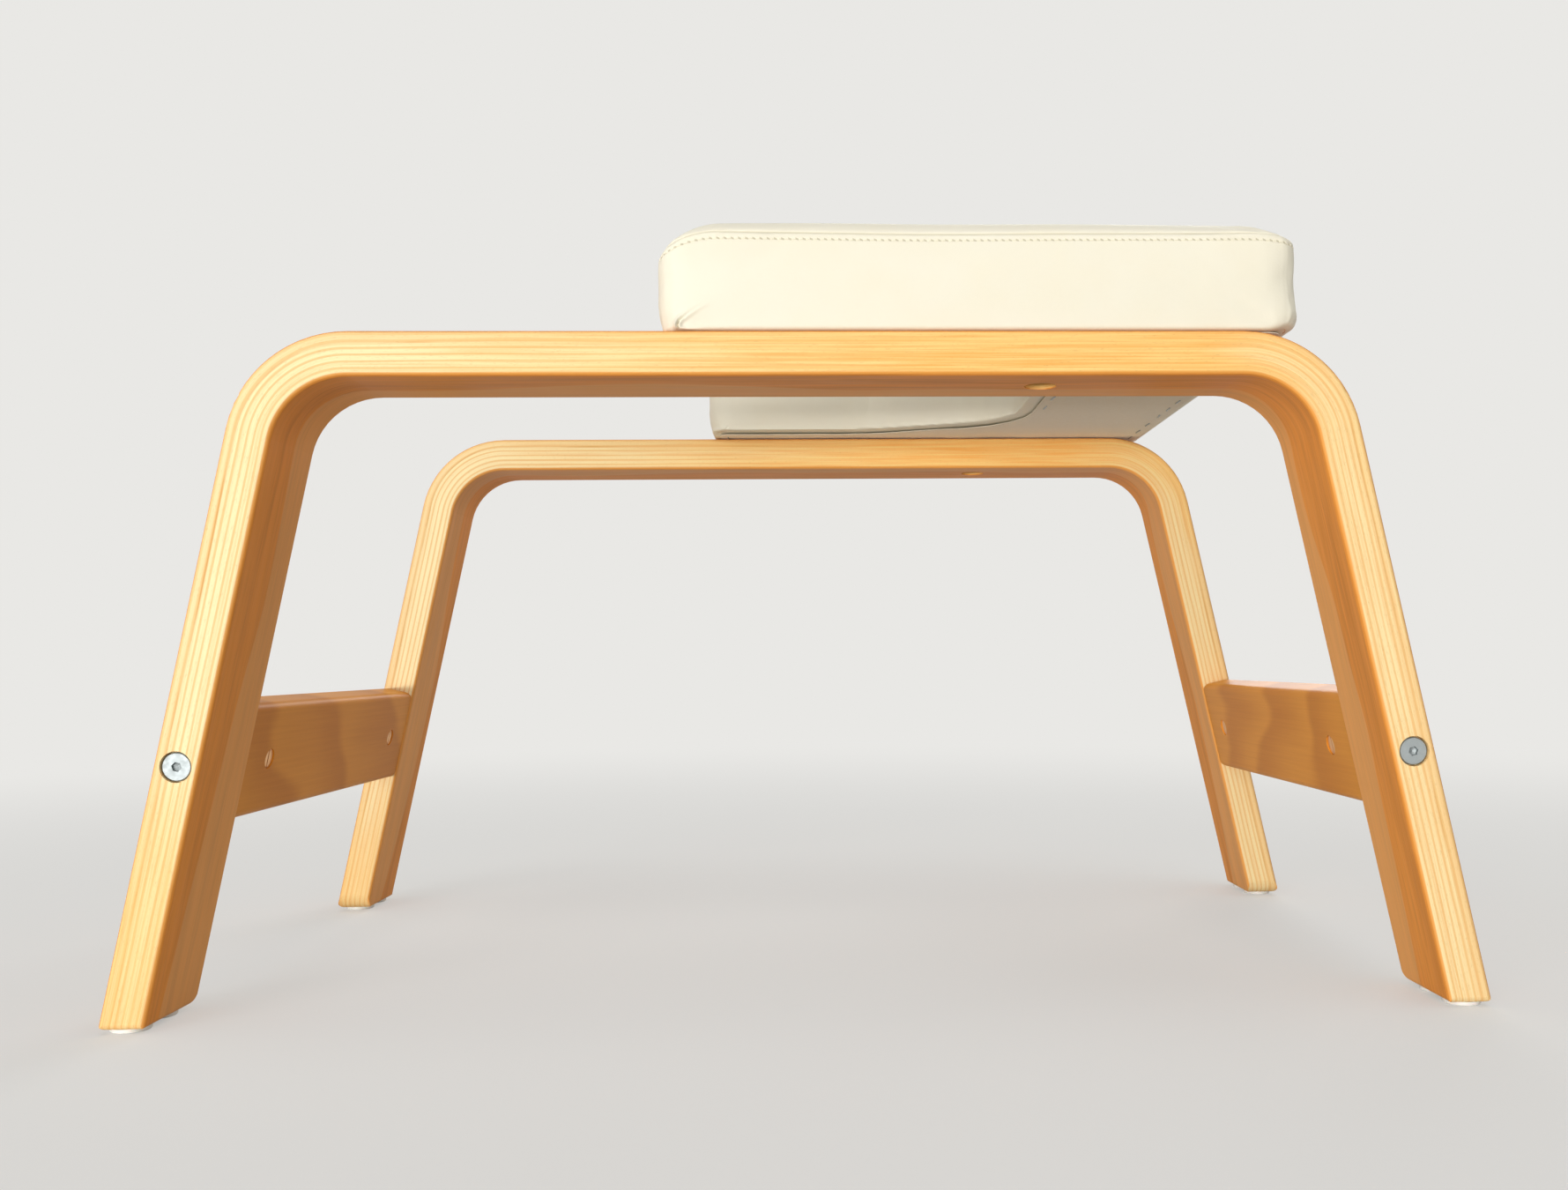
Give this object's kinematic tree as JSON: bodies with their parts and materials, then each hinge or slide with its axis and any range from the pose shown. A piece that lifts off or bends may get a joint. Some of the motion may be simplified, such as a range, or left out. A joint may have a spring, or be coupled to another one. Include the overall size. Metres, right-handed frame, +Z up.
{
  "type": "headstand stool",
  "caption": "Low stool of bent laminated arches and crossbars, with a U-shaped cushion whose notch holds the head in an inversion.",
  "frame": {"origin": "on the floor, under the middle of the stool's bounding box", "axes": "+X along the stool's length towards the closed end of the cushion, +Z up, and +Y towards the far side frame"},
  "size_m": [0.6282, 0.344, 0.367],
  "materials": {
    "beech_laminate": "clear satin lacquer on bent laminate",
    "crossbar_wood": "clear satin lacquer on solid wood",
    "zinc_bolt": "zinc plated",
    "zinc_nut": "zinc plated",
    "dowel_wood": "bare turned wood",
    "board_wood": "bare plywood",
    "foam": "soft open foam",
    "faux_leather": "fine-grained coated cloth, semi-matt",
    "lining": "thin backing cloth",
    "glide_plastic": "smooth moulded"
  },
  "bodies": {
    "root": {"near_side_frame": "beech_laminate", "far_side_frame": "beech_laminate", "left_crossbar": "crossbar_wood", "right_crossbar": "crossbar_wood", "bolt_near_left": "zinc_bolt", "bolt_near_right": "zinc_bolt", "bolt_far_left": "zinc_bolt", "bolt_far_right": "zinc_bolt", "barrel_nut_near_left": "zinc_nut", "barrel_nut_near_right": "zinc_nut", "barrel_nut_far_left": "zinc_nut", "barrel_nut_far_right": "zinc_nut", "dowel_near_left_upper": "dowel_wood", "dowel_near_left_lower": "dowel_wood", "dowel_near_right_upper": "dowel_wood", "dowel_near_right_lower": "dowel_wood", "dowel_far_left_upper": "dowel_wood", "dowel_far_left_lower": "dowel_wood", "dowel_far_right_upper": "dowel_wood", "dowel_far_right_lower": "dowel_wood", "cushion_bolt_near": "zinc_bolt", "cushion_bolt_far": "zinc_bolt", "tee_nut_near": "zinc_nut", "tee_nut_far": "zinc_nut", "cushion_board": "board_wood", "foam_pad": "foam", "cover_top_panel": "faux_leather", "cover_border": "faux_leather", "underside_lining": "lining", "glide_near_left_outer": "glide_plastic", "glide_near_left_inner": "glide_plastic", "glide_near_right_outer": "glide_plastic", "glide_near_right_inner": "glide_plastic", "glide_far_left_outer": "glide_plastic", "glide_far_left_inner": "glide_plastic", "glide_far_right_outer": "glide_plastic", "glide_far_right_inner": "glide_plastic"}
  },
  "joints": []
}
